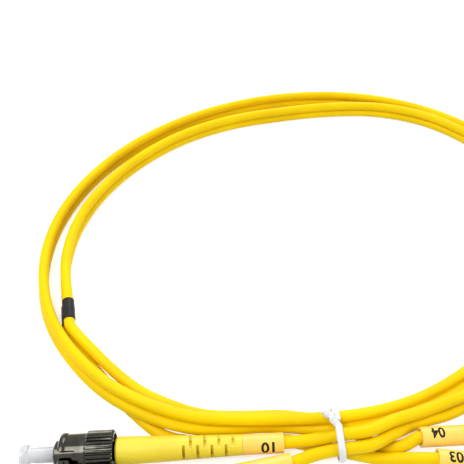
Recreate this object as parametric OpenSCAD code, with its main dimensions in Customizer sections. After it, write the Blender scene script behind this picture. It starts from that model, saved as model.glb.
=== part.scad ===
// Duplex fibre optic patch cord, coiled and tied, with four ST bayonet plugs.
// All sizes in millimetres. The floor is z = 0; the cord runs in two oval turns.

/* [Cord] */
// Diameter of one cord jacket
jacket_d = 3; // [2:0.1:3]
// Distance between the two jackets of the zip cord
jacket_pitch = 3.1; // [3.05:0.01:3.2]
// Thickness of the web between the two jackets
web_t = 1; // [0.6:0.1:1.4]
// Gap between the lower jacket and the floor
floor_gap = 0.25; // [0.2:0.05:0.4]
// Diameter of the tight buffer on the glass fibre
buffer_d = 0.9; // [0.6:0.1:1]

/* [Oval coil] */
// Half of the long axis of the oval
oval_a = 84.5; // [84:0.5:90]
// Half of the short axis of the oval
oval_b = 69; // [66:0.5:72]
// Turn of the long axis from X, in degrees
oval_tilt = 21; // [18:1:22]
// Step from the outer turn to the inner one where they touch
turn_step = 3.45; // [3.3:0.05:3.6]
// Rings of the tube in one turn
rings_per_turn = 24; // [24:8:48]
// Height by which the tie lifts the cords
tie_lift = 1.3; // [1.25:0.05:1.5]

/* [Wire tie] */
// Diameter of the coated tie wire
wire_d = 1.2; // [1:0.05:1.25]
// Length of the twisted tails
tail_len = 3.5; // [3:0.5:9]
// Distance between the two strands of the twist
twist_pitch = 1.8; // [1.75:0.05:2.2]

/* [Plug body] */
// Diameter of the ceramic ferrule
ferrule_d = 2.5; // [2.5:0.1:2.5]
// Length of the ferrule ahead of the barrel
ferrule_reach = 6; // [5:0.1:6.5]
// Diameter of the bare fibre
fiber_d = 0.125; // [0.12:0.005:0.14]
// Clearance on the radius round the bare fibre
fiber_fit = 0.01; // [0.005:0.005:0.02]
// Depth of the ferrule inside the barrel
ferrule_seat = 6; // [4:0.5:8]
// Diameter of the barrel's front tube
barrel_d = 6.2; // [6:0.1:6.4]
// Diameter of the barrel's collar that the spring pushes on
collar_d = 6.9; // [6.6:0.1:7.2]
// Width of the collar along the axis
collar_w = 1.6; // [1:0.1:2]
// Diameter of the barrel's stem inside the spring
stem_d = 4.4; // [4.2:0.1:4.6]
// Diameter of the barrel's neck inside the crimp sleeve
neck_d = 3.2; // [3:0.1:3.4]
// Length of the neck
neck_len = 5; // [4:0.5:7]
// Length of the barrel ahead of the nut
barrel_reach = 1.25; // [0.8:0.05:1.6]
// Clearance on the radius of the ferrule in the barrel
seat_fit = 0.02; // [0.01:0.01:0.05]
// Room on the radius round the buffered fibre in the barrel
buffer_room = 0.3; // [0.2:0.05:0.4]
// Width of the key on the barrel
key_w = 1; // [0.8:0.05:1.2]
// Height of the key above the barrel
key_h = 0.5; // [0.3:0.05:0.6]

/* [Coupling nut] */
// Overall length of the nut
nut_len = 12.7; // [12:0.1:13.5]
// Diameter over the knurl and the front flange
nut_d = 10; // [9.6:0.1:10.4]
// Diameter of the smooth part of the nut
nut_waist_d = 8.9; // [8.8:0.1:9.2]
// Bore of the nut ahead of its rear wall
nut_bore = 8; // [7.7:0.1:8.2]
// Thickness of the nut's rear wall
nut_wall = 1.1; // [0.8:0.1:1.5]
// Length of the knurled part
knurl_len = 6.6; // [5.5:0.1:7]
// Number of knurl teeth
knurl_teeth = 40; // [30:2:48]
// Depth of the knurl
knurl_depth = 0.3; // [0.2:0.05:0.4]
// Width of the front flange
flange_w = 1.4; // [1:0.1:1.8]
// Width of the bayonet slots
slot_w = 2.1; // [1.8:0.1:2.3]
// Length of the straight entry of a bayonet slot
slot_entry = 2.6; // [2.2:0.1:3]
// Further depth of the ramp behind the entry
slot_ramp = 2; // [1.6:0.1:2.2]
// Turn of the ramp round the nut, in degrees
slot_turn = 60; // [50:5:70]
// Running clearance between the nut and the barrel's stem, on the radius
nut_fit = 0.05; // [0.02:0.01:0.09]

/* [Spring] */
// Wire diameter of the spring
spring_wire = 0.5; // [0.4:0.05:0.5]
// Mean diameter of the spring
spring_d = 5.7; // [5.6:0.05:5.8]
// Length of the spring as fitted
spring_len = 5.2; // [5:0.1:5.4]
// Number of turns
spring_turns = 4; // [3:1:4]
// Thickness of the retaining washer
washer_t = 0.4; // [0.3:0.05:0.5]
// Outer diameter of the retaining washer
washer_d = 7.6; // [7:0.1:7.6]

/* [Boot and crimp] */
// Length of the boot
boot_len = 30; // [28:1:34]
// Diameter of the boot at its front
boot_front_d = 6.6; // [6.4:0.1:6.8]
// Diameter of the boot at its rear
boot_rear_d = 4.8; // [4.6:0.1:5]
// Length of the crimp cavity at the front of the boot
cavity_len = 15; // [13:0.5:16]
// Outer diameter of the crimp sleeve
crimp_d = 4.4; // [4.2:0.1:4.5]
// Bore of the crimp sleeve
crimp_bore = 3.4; // [3.35:0.05:3.6]
// Clearance on the radius of sleeves that slide on
sleeve_fit = 0.1; // [0.05:0.01:0.2]
// Number of flex slots along the boot
flex_slots = 8; // [4:1:8]
// Distance of the first flex slot from the rear
flex_start = 2.2; // [2:0.1:3]
// Step between flex slots
flex_step = 1.67; // [1.5:0.01:1.7]
// Width of a flex slot
flex_w = 0.65; // [0.5:0.05:0.8]
// Half of the web left between two opposite flex slots
flex_web = 1.5; // [1.4:0.05:1.6]
// Roll of the slot pattern round the axis, in degrees
flex_roll = 20; // [0:5:45]

/* [Dust cap] */
// Length of the cap ahead of the barrel
cap_len = 8.1; // [7.5:0.1:9]
// Outer diameter of the cap
cap_d = 3.3; // [3.2:0.1:3.8]
// Diameter of the cap's grip flange
cap_flange_d = 5; // [4.6:0.1:5.4]
// Width of the cap's grip flange
cap_flange_w = 2.6; // [2:0.1:3]
// Clearance on the radius between the cap and the ferrule
cap_fit = 0.04; // [0.02:0.01:0.09]

/* [Label and split sleeve] */
// Length of the label sleeve
label_len = 9.9; // [8:0.1:10.5]
// Outer diameter of the label sleeve
label_d = 4.8; // [4.2:0.1:4.8]
// Bore of the label sleeve
label_bore = 3.5; // [3.3:0.1:3.8]
// Length of the black sleeve where the jackets part
band_len = 7; // [5:0.5:9]
// Wall of the black sleeve
band_wall = 0.15; // [0.1:0.05:0.2]

/* [Hidden] */

$fn = 48;
cut = 0.1;            // how far a cut runs past a face
seat_gap = 0.05;      // gap between pieces that bear on each other
plug_z = nut_d / 2;   // height of every plug's axis above the floor

// Plugs: where the boot's rear face lies, and the turn of the plug's axis from +X
PLUG_A1 = [[-27.5, 7, plug_z], 180];
PLUG_A2 = [[-26, 0.4, plug_z], 189];
PLUG_B1 = [[28, -0.4, plug_z], -9];
PLUG_B2 = [[25.5, 6.6, plug_z], 0];

// Stations along a plug's axis, from the boot's rear face
crimp_x = boot_len - cavity_len;
nut_x = boot_len + 3 * cut;
nut_front_x = nut_x + nut_len;
washer_x = nut_x + nut_wall + seat_gap;
spring_x = washer_x + washer_t + seat_gap;
collar_x = spring_x + spring_len + seat_gap;
barrel_front_x = nut_front_x + barrel_reach;
neck_front_x = boot_len - 1;
neck_rear_x = neck_front_x - neck_len;
ferrule_x = barrel_front_x - ferrule_seat;
ferrule_tip_x = barrel_front_x + ferrule_reach;
cap_x = barrel_front_x + seat_gap;

// ---- Routes ----
jacket_r = jacket_d / 2;
z_low = floor_gap + jacket_r;
tie_x = -4;
oval_centre = [-2.1, 80];
coil_start = -45;      // angle where the zip cord starts, on the right
coil_end = 540;        // angle where it ends, on the left, after more than one turn
// Angle on the way through both turns; the cord's move inward there, in turn steps
MOVES_IN = [[195, 0], [210, -0.29], [225, -0.1], [240, 1.05], [255, 0.24], [270, 0.48], [285, 0.7],
    [300, 1], [397, 1], [409, 1.7], [422, 2.45], [434, 2.75], [447, 2.5], [459, 2.15],
    [489, 2.05], [510, 1.95], [525, 1.9], [540, 1.77]];
// Angle on the oval; how far the zip cord leans inward there, in degrees
LEANS = [[150, 0], [180, 16], [195, 20], [210, 30], [225, 35], [240, 5], [255, 55], [270, 75],
    [285, 45], [300, 15], [312, 0]];
// Angle on the first turn; how high the cord is lifted there, in tie lifts
LIFTS = [[180, 0], [195, 1.2], [210, 2.4], [225, 2], [240, 0.4], [255, 2.3], [270, 0],
    [285, 0]];

function unit(v) = v / norm(v);
function heading(turn) = [cos(turn), sin(turn), 0];
function along(plug, x) = plug[0] + x * heading(plug[1]);
function ease(s) = let (c = min(max(s, 0), 1)) c * c * (3 - 2 * c);

// Point of the oval at an angle, a distance inside its outline
function oval(angle, inset) =
    let (x = (oval_a - inset) * cos(angle), y = (oval_b - inset) * sin(angle))
    oval_centre + [x * cos(oval_tilt) - y * sin(oval_tilt), x * sin(oval_tilt) + y * cos(oval_tilt)];
function lean(angle) = lookup(angle % 360, LEANS);
function coil_point(angle) =
    let (p = oval(angle, turn_step * lookup(angle, MOVES_IN)), up = jacket_pitch / 2 * cos(lean(angle)))
    [p[0], p[1], z_low + up + tie_lift * lookup(angle, LIFTS)];

ring_count = round((coil_end - coil_start) * rings_per_turn / 360);
coil_angles = [for (i = [0:ring_count]) coil_start + (coil_end - coil_start) * i / ring_count];
coil_rings = [for (angle = coil_angles) coil_point(angle)];
coil_leans = [for (angle = coil_angles) lean(angle)];
last_ring = len(coil_rings) - 1;
start_dir = unit(coil_rings[0] - coil_rings[1]);
end_dir = unit(coil_rings[last_ring] - coil_rings[last_ring - 1]);
// Each end of the zip cord runs straight for one jacket diameter
zip_start = coil_rings[0] + jacket_d * start_dir;
zip_end = coil_rings[last_ring] + jacket_d * end_dir;
zip_route = concat([zip_start], coil_rings, [zip_end]);
zip_leans = concat([coil_leans[0]], coil_leans, [coil_leans[last_ring]]);

// Middle of one jacket where the zip cord ends; side is 1 for the upper jacket, -1 for the lower
function jacket_end(join, dir, lean, side) = join
    + side * jacket_pitch / 2 * [-dir[1] * sin(lean), dir[0] * sin(lean), cos(lean)];
// Points of the four single cords between the plug and the split sleeve
LEG_A1 = [[-10.1, 7, 5.8], [-4, 7.3, 7.1], [2.9, 7.7, 7.8], [9.9, 10.3, 7.2], [17.1, 12.4, 6.4],
    [25, 14.9, 6.1], [33, 18.1, 5.6], [40.9, 22.1, 5.2], [48.4, 26.6, 5], [54.9, 31.6, 4.9],
    [61.3, 38.1, 4.9], [66.7, 45.8, 4.9]];
LEG_A2 = [[-10, 3.6, 5.4], [-4, 4.3, 6], [3, 4.8, 6.2], [9, 7.6, 5.1], [14.5, 10.2, 3.7],
    [19.1, 11.5, 3.6], [25.2, 12.9, 3.6], [33, 16.4, 2.8], [41, 20.7, 2], [48.4, 26.1, 1.8],
    [54.9, 31.6, 1.8], [61.3, 38.1, 1.7], [66.7, 45.8, 1.7]];
LEG_B1 = [[11, 2.2, 3.6], [4.9, 3.1, 2.3], [-3.9, 5.1, 3], [-10.1, 7.1, 1.8], [-17.2, 9.1, 1.6],
    [-27.1, 9.3, 1.6], [-37.1, 9.6, 1.6], [-46.2, 11.6, 1.6], [-53.9, 17.7, 1.6],
    [-60.9, 25.6, 1.6], [-67.9, 34.2, 1.6], [-72.9, 41.2, 1.6]];
LEG_B2 = [[11.1, 5.3, 3.5], [6.6, 6.1, 1.6], [2, 9.2, 1.6], [-1.4, 11.8, 1.6],
    [-4.2, 13.3, 2.9], [-10.2, 14.3, 1.9], [-17.2, 15.5, 1.6], [-27, 15.8, 1.6],
    [-36.9, 16.8, 1.6], [-45.9, 20.2, 1.6], [-53.9, 24.6, 2], [-60.9, 30.5, 2.8],
    [-67.7, 37.4, 4], [-72.6, 42.9, 4.6]];
function leg_route(plug, points, end, dir) = concat(
    [along(plug, crimp_x - seat_gap), along(plug, 0), along(plug, -label_len)], points,
    [end + (band_len / 2 + seat_gap) * dir, end + seat_gap * dir]);
route_a1 = leg_route(PLUG_A1, LEG_A1, jacket_end(zip_start, start_dir, coil_leans[0], 1), start_dir);
route_a2 = leg_route(PLUG_A2, LEG_A2, jacket_end(zip_start, start_dir, coil_leans[0], -1), start_dir);
route_b1 = leg_route(PLUG_B1, LEG_B1, jacket_end(zip_end, end_dir, coil_leans[last_ring], -1), end_dir);
route_b2 = leg_route(PLUG_B2, LEG_B2, jacket_end(zip_end, end_dir, coil_leans[last_ring], 1), end_dir);

// Tie wire: a loop round the six cords, as [y, z] from one side of the twist to the other, and
// both ends twisted together at its top
RING = [[8.77, 9.2], [7.29, 9.43], [5.85, 9.03], [4.44, 8.5], [3.06, 7.92], [2.13, 6.78],
    [2.07, 5.3], [2.43, 3.84], [2.78, 2.38], [3.59, 1.15], [4.98, 0.66], [6.48, 0.66],
    [7.98, 0.66], [9.48, 0.66], [10.98, 0.66], [12.49, 0.66], [13.99, 0.66], [15.22, 1.44],
    [15.69, 2.83], [15.32, 4.28], [14.83, 5.7], [14.33, 7.11], [13.36, 8.22], [11.92, 8.63],
    [10.44, 8.9]];
ring = [for (p = RING) [tie_x, p[0], p[1]]];
ring_last = len(ring) - 1;
tail_dir = unit([-0.75, 0.5, 0.4]);
tail_turns = tail_len / 6;
tail_steps = round(8 * tail_turns);
tail_root = (ring[0] + ring[ring_last]) / 2 + 1.4 * tail_dir;
tail_side = unit(ring[0] - ring[ring_last]);
tail_up = unit(cross(tail_dir, tail_side));
function tail_point(i, half_turn) =
    let (a = half_turn + 360 * tail_turns * i / tail_steps, side = cross(tail_up, tail_dir))
    tail_root + tail_dir * tail_len * i / tail_steps
        + twist_pitch / 2 * (cos(a) * side + sin(a) * tail_up);
tie_route = concat(
    [for (i = [tail_steps:-1:0]) tail_point(i, 0)],
    ring,
    [for (i = [0:tail_steps]) tail_point(i, 180)]);

// Least gap of a tube to itself: pairs of points more than a few steps apart
function self_gap(route, size, skip) = min([for (i = [0:len(route) - 1], k = [i + skip:1:len(route) - 1])
    norm(route[i] - route[k])]) - size;
union() {
    echo(zip_cord_gap = self_gap(zip_route, jacket_d, 12));
    echo(wire_tie_gap = self_gap(tie_route, wire_d, 6));
}

// ---- Shapes ----
// Tube of any outline swept along a route, leaning over by an angle at each point if leans are
// given; the outline is counted anticlockwise
module sweep(route, outline, up, leans = []) {
    n = len(outline);
    last = len(route) - 1;
    rings = [for (i = [0:last])
        let (t = unit(route[min(i + 1, last)] - route[max(i - 1, 0)]),
             side = unit(cross(t, up)), top = cross(side, t), lean = len(leans) > 0 ? leans[i] : 0)
        for (p = outline) route[i] + (p[0] * cos(lean) - p[1] * sin(lean)) * side
            + (p[0] * sin(lean) + p[1] * cos(lean)) * top];
    walls = [for (i = [0:last - 1], k = [0:n - 1])
        let (a = i * n + k, b = i * n + (k + 1) % n)
        each [[a, b, b + n], [a, b + n, a + n]]];
    ends = [for (k = [0:n - 1]) each [[(last + 1) * n, (k + 1) % n, k],
        [(last + 1) * n + 1, last * n + k, last * n + (k + 1) % n]]];
    polyhedron(concat(rings, [route[0], route[last]]), concat(walls, ends), convexity = 6);
}
function round_outline(r, sides) = [for (k = [0:sides - 1]) r * [cos(360 * k / sides), sin(360 * k / sides)]];
function jacket_outline(y, angles) = [for (a = angles) [jacket_r * cos(a), y + jacket_r * sin(a)]];
zip_outline = concat(
    jacket_outline(-jacket_pitch / 2, [-90, -30, 30]), [[web_t / 2, 0]],
    jacket_outline(jacket_pitch / 2, [-30, 30, 90, 150, 210]), [[-web_t / 2, 0]],
    jacket_outline(-jacket_pitch / 2, [150, 210]));

// Solid of revolution about the plug's axis from an outline of [station, radius]
module turned(outline) rotate([0, 90, 0]) rotate_extrude() polygon([for (p = outline) [p[1], p[0]]]);
module at_plug(plug) translate(plug[0]) rotate([0, 0, plug[1]]) children();
module bore(d, from, to) translate([from, 0, 0]) rotate([0, 90, 0]) cylinder(d = d, h = to - from);

// ---- Cord ----
module zip_cord() color("gold") sweep(zip_route, zip_outline, [0, 0, 1], zip_leans);
module leg_cord(route) color("gold") sweep(route, round_outline(jacket_r, 8), [0, 0, 1]);
module band_outline(r) {
    for (s = [-1, 1]) translate([0, s * jacket_pitch / 2]) circle(r);
    square([2 * r, jacket_pitch], center = true);
}
module split_band(join, dir, lean) color("black")
    translate(join) rotate([90, 0, 90 + atan2(dir[1], dir[0])])
    linear_extrude(band_len, center = true) rotate(-lean) difference() {
        band_outline(jacket_r + floor_gap);
        band_outline(jacket_r + floor_gap - band_wall);
    }
module wire_tie() color("whitesmoke") sweep(tie_route, round_outline(wire_d / 2, 6), [1, 0, 0]);

// ---- Plug ----
module dust_cap() color("ghostwhite") {
    tip = cap_x + cap_len;
    grip = tip - cap_flange_w;
    edge = 0.4;
    difference() {
        turned([[cap_x, 0], [cap_x, cap_d / 2], [grip - edge, cap_d / 2],
            [grip, cap_flange_d / 2 - edge], [grip + edge, cap_flange_d / 2],
            [tip - edge, cap_flange_d / 2], [tip, cap_flange_d / 2 - edge], [tip, 0]]);
        bore(ferrule_d + 2 * cap_fit, cap_x - cut, ferrule_tip_x + 3 * cut);
    }
}
module ferrule() color("ivory") difference() {
    chamfer = 0.5;
    turned([[ferrule_x, 0], [ferrule_x, ferrule_d / 2], [ferrule_tip_x - chamfer, ferrule_d / 2],
        [ferrule_tip_x, ferrule_d / 2 - chamfer / 2], [ferrule_tip_x, 0]]);
    bore(fiber_d + 2 * fiber_fit, ferrule_x - cut, ferrule_tip_x + cut);
}
module barrel() color("silver") {
    tube_r = barrel_d / 2;
    edge = 0.3;
    recess_d = 4.2;
    recess_len = 2;
    difference() {
        union() {
            turned([[neck_rear_x, 0], [neck_rear_x, neck_d / 2], [neck_front_x, neck_d / 2],
                [neck_front_x, stem_d / 2], [collar_x, stem_d / 2], [collar_x, collar_d / 2],
                [collar_x + collar_w, collar_d / 2], [collar_x + collar_w, tube_r],
                [barrel_front_x - edge, tube_r], [barrel_front_x, tube_r - edge], [barrel_front_x, 0]]);
            translate([collar_x + collar_w / 2, -key_w / 2, 0])
                cube([nut_front_x - collar_x - collar_w / 2, key_w, tube_r + key_h]);
        }
        bore(recess_d, barrel_front_x - recess_len, barrel_front_x + cut);
        bore(ferrule_d + 2 * seat_fit, ferrule_x - seat_gap, barrel_front_x);
        bore(buffer_d + 2 * buffer_room, neck_rear_x - cut, ferrule_x);
    }
}
// Round wire curled round the barrel's stem, with straight ends along the axis
module nut_spring(plug) color("lightsteelblue") {
    steps = 8 * spring_turns;
    lead = spring_wire;
    coil_len = spring_len - 2 * lead - spring_wire / 2;
    r = spring_d / 2;
    curls = [for (i = [0:steps])
        [spring_x + lead + coil_len * i / steps + spring_wire / 4, r * cos(45 * i), r * sin(45 * i)]];
    route = concat([[spring_x, r, 0]], curls, [[spring_x + spring_len, r, 0]]);
    echo(nut_spring_gap = self_gap(curls, spring_wire, 5));
    at_plug(plug) sweep(route, round_outline(spring_wire / 2, 6), [1, 0.02, 0.01]);
}
module retaining_washer() color("dimgray") difference() {
    bore(washer_d, washer_x, washer_x + washer_t);
    bore(stem_d + 2 * nut_fit, washer_x - cut, washer_x + washer_t + cut);
}
module coupling_nut() color("darkgray") {
    tip_r = nut_d / 2;
    waist_r = nut_waist_d / 2;
    flange_x = nut_front_x - flange_w;
    edge = flange_w / 3;
    tooth = 360 / knurl_teeth;
    slot_steps = 6;
    difference() {
        union() {
            turned([[nut_x, 0], [nut_x, waist_r], [flange_x - knurl_depth, waist_r],
                [flange_x, tip_r - edge / 2], [flange_x + edge, tip_r], [nut_front_x - edge, tip_r],
                [nut_front_x, tip_r - edge], [nut_front_x, 0]]);
            translate([nut_x + knurl_depth, 0, 0]) rotate([0, 90, 0])
                linear_extrude(knurl_len - knurl_depth)
                polygon([for (k = [0:knurl_teeth - 1]) each [
                    tip_r * [cos(k * tooth - tooth / 5), sin(k * tooth - tooth / 5)],
                    tip_r * [cos(k * tooth + tooth / 5), sin(k * tooth + tooth / 5)],
                    (tip_r - knurl_depth) * [cos((k + 0.5) * tooth), sin((k + 0.5) * tooth)]]]);
        }
        bore(stem_d + 2 * nut_fit, nut_x - cut, nut_front_x);
        bore(nut_bore, nut_x + nut_wall, nut_front_x + cut);
        for (side = [0, 180]) {
            rotate([side, 0, 0]) translate([nut_front_x - slot_entry, -slot_w / 2, 0])
                cube([slot_entry + cut, slot_w, nut_d]);
            for (i = [0:slot_steps]) rotate([side + slot_turn * i / slot_steps, 0, 0])
                translate([nut_front_x - slot_entry - slot_ramp * ease(i / slot_steps), 0, 0])
                cylinder(d = slot_w, h = nut_d);
        }
    }
}
module crimp_sleeve() color("darkkhaki") difference() {
    bore(crimp_d, crimp_x, neck_front_x - seat_gap);
    bore(crimp_bore, crimp_x - cut, neck_front_x);
}
module buffered_fiber() color("white") {
    bore(buffer_d, crimp_x, ferrule_x);
    bore(fiber_d, ferrule_x - cut, ferrule_tip_x);
}
module strain_boot() color("khaki") {
    front_r = boot_front_d / 2;
    rear_r = boot_rear_d / 2;
    edge = 0.6;
    difference() {
        turned(concat([[0, 0], [0, rear_r]],
            [for (a = [90:-15:0]) [boot_len - edge + edge * cos(a), front_r - edge + edge * sin(a)]],
            [[boot_len, 0]]));
        bore(jacket_d + 2 * sleeve_fit, -cut, boot_len);
        bore(crimp_d + 2 * sleeve_fit, crimp_x - seat_gap, boot_len + cut);
        for (i = [0:flex_slots - 1]) rotate([flex_roll + 90 * (i % 2), 0, 0])
            for (side = [0, 180]) rotate([side, 0, 0])
                translate([flex_start + i * flex_step - flex_w / 2, -boot_front_d, flex_web])
                cube([flex_w, 2 * boot_front_d, boot_front_d]);
    }
}
module label_sleeve() color("moccasin") difference() {
    bore(label_d, -label_len, -seat_gap);
    bore(label_bore, -label_len - cut, 0);
}

zip_cord();
split_band(zip_start, start_dir, coil_leans[0]);  // split_band_a
split_band(zip_end, end_dir, coil_leans[last_ring]);  // split_band_b
wire_tie();
at_plug(PLUG_A1) dust_cap();  // dust_cap_a1
at_plug(PLUG_A2) dust_cap();  // dust_cap_a2
at_plug(PLUG_B1) dust_cap();  // dust_cap_b1
at_plug(PLUG_B2) dust_cap();  // dust_cap_b2
at_plug(PLUG_A1) ferrule();  // ferrule_a1
at_plug(PLUG_A2) ferrule();  // ferrule_a2
at_plug(PLUG_B1) ferrule();  // ferrule_b1
at_plug(PLUG_B2) ferrule();  // ferrule_b2
at_plug(PLUG_A1) barrel();  // barrel_a1
at_plug(PLUG_A2) barrel();  // barrel_a2
at_plug(PLUG_B1) barrel();  // barrel_b1
at_plug(PLUG_B2) barrel();  // barrel_b2
nut_spring(PLUG_A1);  // nut_spring_a1
nut_spring(PLUG_A2);  // nut_spring_a2
nut_spring(PLUG_B1);  // nut_spring_b1
nut_spring(PLUG_B2);  // nut_spring_b2
at_plug(PLUG_A1) retaining_washer();  // retaining_washer_a1
at_plug(PLUG_A2) retaining_washer();  // retaining_washer_a2
at_plug(PLUG_B1) retaining_washer();  // retaining_washer_b1
at_plug(PLUG_B2) retaining_washer();  // retaining_washer_b2
at_plug(PLUG_A1) coupling_nut();  // coupling_nut_a1
at_plug(PLUG_A2) coupling_nut();  // coupling_nut_a2
at_plug(PLUG_B1) coupling_nut();  // coupling_nut_b1
at_plug(PLUG_B2) coupling_nut();  // coupling_nut_b2
at_plug(PLUG_A1) crimp_sleeve();  // crimp_sleeve_a1
at_plug(PLUG_A2) crimp_sleeve();  // crimp_sleeve_a2
at_plug(PLUG_B1) crimp_sleeve();  // crimp_sleeve_b1
at_plug(PLUG_B2) crimp_sleeve();  // crimp_sleeve_b2
at_plug(PLUG_A1) buffered_fiber();  // buffered_fiber_a1
at_plug(PLUG_A2) buffered_fiber();  // buffered_fiber_a2
at_plug(PLUG_B1) buffered_fiber();  // buffered_fiber_b1
at_plug(PLUG_B2) buffered_fiber();  // buffered_fiber_b2
at_plug(PLUG_A1) strain_boot();  // strain_boot_a1
at_plug(PLUG_A2) strain_boot();  // strain_boot_a2
at_plug(PLUG_B1) strain_boot();  // strain_boot_b1
at_plug(PLUG_B2) strain_boot();  // strain_boot_b2
at_plug(PLUG_A1) label_sleeve();  // label_sleeve_a1
at_plug(PLUG_A2) label_sleeve();  // label_sleeve_a2
at_plug(PLUG_B1) label_sleeve();  // label_sleeve_b1
at_plug(PLUG_B2) label_sleeve();  // label_sleeve_b2
leg_cord(route_a1);  // leg_cord_a1
leg_cord(route_a2);  // leg_cord_a2
leg_cord(route_b1);  // leg_cord_b1
leg_cord(route_b2);  // leg_cord_b2
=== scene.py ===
# %% [markdown]
# # A coiled fibre optic patch cord
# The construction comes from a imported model: every solid piece is already at its real size and
# place. This file adds the looks: smooth cords, moulded plastic, plated metal, light and a
# camera. Blender works in metres, so a size in millimetres is multiplied by `MM`.

# %% Load the frame
import bpy
import bmesh
import math
from mathutils import Matrix, Vector


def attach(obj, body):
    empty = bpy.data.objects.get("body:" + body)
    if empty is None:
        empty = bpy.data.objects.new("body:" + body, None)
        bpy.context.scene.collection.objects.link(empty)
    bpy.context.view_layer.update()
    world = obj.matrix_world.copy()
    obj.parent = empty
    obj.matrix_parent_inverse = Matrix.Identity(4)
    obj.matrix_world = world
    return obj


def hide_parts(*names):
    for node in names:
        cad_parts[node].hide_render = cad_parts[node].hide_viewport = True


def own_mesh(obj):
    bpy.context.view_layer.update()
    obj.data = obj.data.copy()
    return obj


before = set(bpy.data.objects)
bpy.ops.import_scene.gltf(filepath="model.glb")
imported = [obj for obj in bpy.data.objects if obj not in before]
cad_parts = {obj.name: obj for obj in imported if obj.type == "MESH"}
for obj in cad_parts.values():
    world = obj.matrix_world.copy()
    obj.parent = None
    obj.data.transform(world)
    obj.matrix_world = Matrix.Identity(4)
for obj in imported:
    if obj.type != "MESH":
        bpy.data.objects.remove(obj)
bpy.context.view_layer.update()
MM = 0.001
UP = Vector((0.0, 0.0, 1.0))
scene = bpy.context.scene

# %% [markdown]
# ## Camera
# The camera stands a hand's breadth over the floor, close to the plugs, and looks down past them
# into the coil. From so near, the first plug is large and the far turns are thin. The camera's
# direction is worked out from a pitch and a heading.

# %% Camera
CAMERA_PLACE = Vector((-33.1, -53.6, 145.0)) * MM
CAMERA_PITCH = math.radians(47.0)
CAMERA_HEADING = math.radians(-3.0)
CAMERA_LENS = 46.55
CAMERA_NEAR, CAMERA_FAR = 0.005, 20.0


def new_object(name, data):
    """New object at the origin, linked to the scene."""
    made = bpy.data.objects.new(name, data)
    scene.collection.objects.link(made)
    return made


camera_data = bpy.data.cameras.new("camera")
camera_data.lens = CAMERA_LENS
camera_data.clip_start, camera_data.clip_end = CAMERA_NEAR, CAMERA_FAR
camera = new_object("camera", camera_data)
camera.location = CAMERA_PLACE
camera.rotation_euler = (math.radians(90.0) - CAMERA_PITCH, 0.0, CAMERA_HEADING)
scene.camera = camera
print("camera height in mm:", round(camera.location.z / MM))

# %% [markdown]
# ## Helpers for node trees
# Geometry Nodes make each cord from a line of points. A tree is built once, with named inputs
# for its sizes, and used again with other values. A few helpers keep the cells short: they start
# a tree, add nodes to it, end it, and run it on a mesh. The modifier could stay live, but a plain
# mesh of its result can be measured, smoothed, bent and exported as any other.

# %% Start, fill and end a tree
def geometry_tree(name, inputs):
    """New geometry tree with a Geometry input, the named inputs and a Geometry output."""
    tree = bpy.data.node_groups.new(name, "GeometryNodeTree")
    tree.interface.new_socket("Geometry", in_out="INPUT", socket_type="NodeSocketGeometry")
    for label, kind, value in inputs:
        socket = tree.interface.new_socket(label, in_out="INPUT", socket_type=kind)
        if value is not None:
            socket.default_value = value
    tree.interface.new_socket("Geometry", in_out="OUTPUT", socket_type="NodeSocketGeometry")
    source = tree.nodes.new("NodeGroupInput")
    result = tree.nodes.new("NodeGroupOutput")
    return tree, source, result


def node(tree, kind, links=(), **settings):
    """New node with its settings, and links given as (input name, output socket or value)."""
    made = tree.nodes.new(kind)
    for key, value in settings.items():
        setattr(made, key, value)
    for label, value in links:
        if isinstance(value, bpy.types.NodeSocket):
            tree.links.new(value, made.inputs[label])
        else:
            made.inputs[label].default_value = value
    return made


def maths(tree, operation, a, b=None, **settings):
    """Output of a new math node on one or two values or output sockets."""
    links = [(0, a)] if b is None else [(0, a), (1, b)]
    return node(tree, "ShaderNodeMath", links, operation=operation, **settings).outputs[0]


def end_tree(tree, result, geometry, material):
    """Makes a tree's instances real, gives them a material and joins them to the output."""
    real = node(tree, "GeometryNodeRealizeInstances", [("Geometry", geometry)])
    coated = node(tree, "GeometryNodeSetMaterial", [("Geometry", real.outputs["Geometry"]),
                  ("Material", material)])
    tree.links.new(coated.outputs["Geometry"], result.inputs["Geometry"])
    return tree


# %% Run a geometry tree on a line or a mesh
def line_mesh(name, points, sides=None):
    """Mesh of one open line for Mesh to Curve, which may carry a side at each point."""
    mesh = bpy.data.meshes.new(name)
    edges = [(i, i + 1) for i in range(len(points) - 1)]
    mesh.from_pydata([tuple(p) for p in points], edges, [])
    if sides:
        stored = mesh.attributes.new("side", "FLOAT_VECTOR", "POINT")
        for item, side in zip(stored.data, sides):
            item.vector = side
    return mesh


def plain_mesh(carrier):
    """Mesh of an object as its modifiers or its text make it."""
    bpy.context.view_layer.update()
    evaluated = carrier.evaluated_get(bpy.context.evaluated_depsgraph_get())
    return bpy.data.meshes.new_from_object(evaluated)


def run_tree(name, mesh, tree, values):
    """Runs a tree on a mesh and returns a plain object that holds the result."""
    carrier = new_object(name + "_carrier", mesh)
    modifier = carrier.modifiers.new("nodes", "NODES")
    modifier.node_group = tree
    for item in tree.interface.items_tree:
        if item.in_out == "INPUT" and item.name in values:
            modifier[item.identifier] = values[item.name]
    result = plain_mesh(carrier)
    carrier.modifiers.remove(modifier)
    bpy.data.objects.remove(carrier)
    print(name, "faces:", len(result.polygons))
    return new_object(name, result)


def smooth(mesh, sharp_degrees=None):
    """Smooth shading on a mesh; edges steeper than an angle stay sharp where one is given."""
    for face in mesh.polygons:
        face.use_smooth = True
    if sharp_degrees is not None:
        mesh.set_sharp_from_angle(angle=math.radians(sharp_degrees))


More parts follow.
